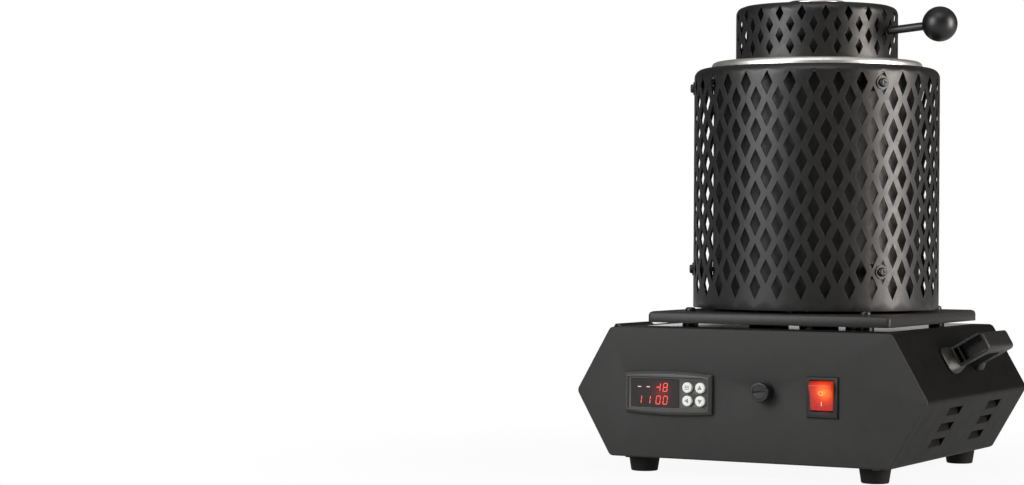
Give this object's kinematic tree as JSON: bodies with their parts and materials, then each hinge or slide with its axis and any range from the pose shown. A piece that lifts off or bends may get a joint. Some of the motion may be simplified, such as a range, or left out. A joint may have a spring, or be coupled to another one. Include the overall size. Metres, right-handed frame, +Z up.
{
  "type": "electric melting furnace",
  "caption": "Tabletop electric crucible furnace: perforated round drum with a swivelling ball-handled lid on a hexagonal base with controller, rocker switch, fuse and carrying handles.",
  "frame": {"origin": "on the resting plane of the feet, under the middle of the hexagonal base", "axes": "+X to the right seen from the control panel, +Y to the rear, +Z up; the control panel faces -Y"},
  "size_m": [0.3292, 0.2544, 0.3799],
  "materials": {
    "shell_paint": "satin black powder coat",
    "panel_paint": "satin charcoal powder coat",
    "shield_paint": "satin black powder coat",
    "can_black": "dark heat-resistant coat",
    "bright_steel": "pressed and polished",
    "zinc_steel": "zinc plated",
    "black_steel": "black oxide",
    "black_plastic": "moulded, fine grain",
    "grey_plastic": "moulded, fine grain",
    "knob_plastic": "polished",
    "rocker_red": "translucent, lit from inside",
    "button_white": "moulded",
    "window_smoke": "smoked window",
    "board_green": "circuit board",
    "foot_rubber": "moulded",
    "fibre_white": "ceramic fibre",
    "muffle_ceramic": "fired ceramic",
    "graphite": "machined graphite",
    "coil_wire": "oxidised resistance wire",
    "brass_tin": "tinned brass",
    "fuse_glass": "clear tube",
    "relay_shell": "moulded"
  },
  "bodies": {
    "housing": {"base_shell": "shell_paint", "front_panel": "panel_paint", "rear_panel": "panel_paint", "bottom_plate": "shell_paint", "foot_front_left": "foot_rubber", "foot_front_right": "foot_rubber", "foot_rear_left": "foot_rubber", "foot_rear_right": "foot_rubber", "foot_screws": "zinc_steel", "bottom_screws": "black_steel", "handle_left": "black_plastic", "handle_right": "black_plastic", "handle_screws": "zinc_steel", "controller_bezel": "grey_plastic", "controller_case": "black_plastic", "display_window": "window_smoke", "display_board": "board_green", "switch_housing": "black_plastic", "switch_terminals": "brass_tin", "fuse_holder_body": "black_plastic", "fuse_holder_nut": "black_plastic", "power_inlet": "black_plastic", "inlet_pins": "brass_tin", "inlet_screws": "zinc_steel", "solid_state_relay": "relay_shell", "terminal_block": "fibre_white", "cable_ducts": "black_plastic", "lead_insulators": "muffle_ceramic", "tray": "panel_paint", "tray_standoffs": "black_steel", "tray_screws": "black_steel", "furnace_can": "can_black", "top_ring": "bright_steel", "insulation_sleeve": "fibre_white", "insulation_floor": "fibre_white", "muffle": "muffle_ceramic", "heating_coil": "coil_wire", "heater_leads": "coil_wire", "thermocouple": "muffle_ceramic", "crucible_stand": "muffle_ceramic", "crucible": "graphite", "drum_shield": "shield_paint", "shield_spacers": "black_steel", "shield_screws": "black_steel", "lid_pivot_post": "bright_steel"},
    "lid": {"lid_bracket": "black_steel", "lid_shield": "shield_paint", "lid_can": "can_black", "lid_insulation": "fibre_white", "lid_top_cap": "bright_steel", "lid_screws": "black_steel", "lid_handle_rod": "black_steel", "lid_ball": "knob_plastic"},
    "rocker": {"switch_rocker": "rocker_red"},
    "set_button": {"set_button": "button_white"},
    "shift_button": {"shift_button": "button_white"},
    "up_button": {"up_button": "button_white"},
    "down_button": {"down_button": "button_white"},
    "fuse_carrier": {"fuse_tube": "fuse_glass"},
    "fuse_cap": {"fuse_cap": "black_plastic"}
  },
  "joints": [
    {"name": "lid_swivel", "type": "hinge", "parent": "housing", "child": "lid", "pos_m": [-0.02809, 0.08954, 0.3475], "axis": [0, 0, 1], "range_deg": [-120, 0]},
    {"name": "rocker_tilt", "type": "hinge", "parent": "housing", "child": "rocker", "pos_m": [0.0633, -0.1185, 0.0663], "axis": [1, 0, 0], "range_deg": [-26, 0]},
    {"name": "set_button_travel", "type": "slide", "parent": "housing", "child": "set_button", "axis": [0, 1, 0], "range_m": [0, 0.0008], "stiffness_N_per_m": 1500, "springref_m": -0.0003},
    {"name": "shift_button_travel", "type": "slide", "parent": "housing", "child": "shift_button", "axis": [0, 1, 0], "range_m": [0, 0.0008], "stiffness_N_per_m": 1500, "springref_m": -0.0003},
    {"name": "up_button_travel", "type": "slide", "parent": "housing", "child": "up_button", "axis": [0, 1, 0], "range_m": [0, 0.0008], "stiffness_N_per_m": 1500, "springref_m": -0.0003},
    {"name": "down_button_travel", "type": "slide", "parent": "housing", "child": "down_button", "axis": [0, 1, 0], "range_m": [0, 0.0008], "stiffness_N_per_m": 1500, "springref_m": -0.0003},
    {"name": "fuse_pull", "type": "slide", "parent": "housing", "child": "fuse_carrier", "axis": [0, -1, 0], "range_m": [0, 0.03]},
    {"name": "fuse_cap_turn", "type": "hinge", "parent": "fuse_carrier", "child": "fuse_cap", "pos_m": [0.0145, -0.12, 0.0677], "axis": [0, -1, 0], "range_deg": [-90, 0]}
  ]
}
